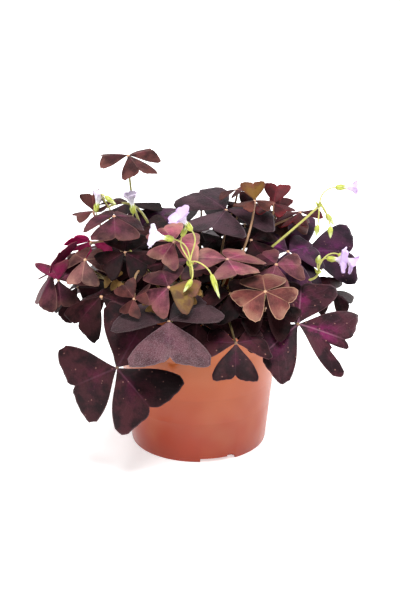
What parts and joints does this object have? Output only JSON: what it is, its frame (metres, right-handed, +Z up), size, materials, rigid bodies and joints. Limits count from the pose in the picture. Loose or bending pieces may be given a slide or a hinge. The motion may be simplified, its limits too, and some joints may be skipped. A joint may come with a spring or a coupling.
{
  "type": "potted purple shamrock",
  "caption": "House plant with three-part butterfly-shaped purple leaves on thin stalks and pale trumpet flowers, standing in soil in a tapered plastic nursery pot.",
  "frame": {"origin": "on the floor, on the pot's axis", "axes": "+Z up; -Y towards the viewer of the picture; +X to the viewer's right"},
  "size_m": [0.2138, 0.2065, 0.1943],
  "materials": {
    "pot": "satin terracotta-coloured moulded plastic",
    "soil": "dark crumbly peat compost",
    "stalk": "smooth pinkish tan to yellow-green leaf stalk",
    "leaf": "velvety dark purple leaf with a magenta midrib flush",
    "young_leaf": "reddish brown young leaf",
    "old_leaf": "yellow-brown withering leaf",
    "flower_stem": "yellow-green stem, smooth",
    "petal": "thin white to pale lilac petal"
  },
  "bodies": {
    "root": {"pot": "pot", "soil": "soil", "leaf_stalks_front": "stalk", "leaf_stalks_back": "stalk", "leaf_a_tall": "young_leaf", "leaf_m_front": "leaf", "leaf_n_front_left_low": "leaf", "leaf_l_front_low": "leaf", "leaf_k_front_right": "leaf", "leaf_j_front_right_small": "young_leaf", "leaf_h_centre": "young_leaf", "leaf_e_top": "leaf", "leaf_c_left_top": "young_leaf", "leaf_g_right_big": "leaf", "leaf_w_left_dark": "leaf", "leaf_r_centre_small": "young_leaf", "leaf_p_left_edge": "leaf", "leaf_p2_left_brown": "leaf", "leaf_o_left": "leaf", "leaf_f2_top_upright": "young_leaf", "leaf_f3_top_red": "young_leaf", "leaf_f1_top_small": "young_leaf", "leaf_f4_top_right": "leaf", "leaf_f5_top_right_edge": "young_leaf", "leaf_v_centre_low": "leaf", "leaf_q_centre_crease": "leaf", "leaf_s_centre_flat": "leaf", "leaf_d_top_left": "leaf", "leaf_x_centre_dark": "leaf", "leaf_yb_old_yellow": "old_leaf", "leaf_lf_left_low": "leaf", "leaf_y_centre_upright": "leaf", "leaf_i_centre_right": "leaf", "leaf_b_left_high": "young_leaf", "leaf_mg_left_magenta": "leaf", "leaf_br_left_folded": "leaf", "leaf_kb_right_back": "leaf", "leaf_b1_back_top": "leaf", "leaf_b2_back_top_left": "leaf", "leaf_b3_back_top_right": "leaf", "leaf_b4_left_back": "leaf", "leaf_b5_right_back": "leaf", "leaf_b6_back_left": "leaf", "leaf_b7_back_right": "leaf", "leaf_b8_back_left_low": "leaf", "leaf_b9_back_right_low": "leaf", "leaf_b10_back_low": "leaf", "leaf_b11_back_left_hanging": "leaf", "leaf_b12_back_right_hanging": "leaf", "flower_stem_right": "flower_stem", "flower_right_1": "petal", "flower_stem_centre": "flower_stem", "flower_centre_1": "petal", "flower_centre_2": "petal", "flower_stem_left": "flower_stem", "flower_left_1": "petal", "flower_left_2": "petal", "flower_stem_right_edge": "flower_stem", "flower_right_edge_1": "petal", "flower_right_edge_2": "petal"}
  },
  "joints": []
}
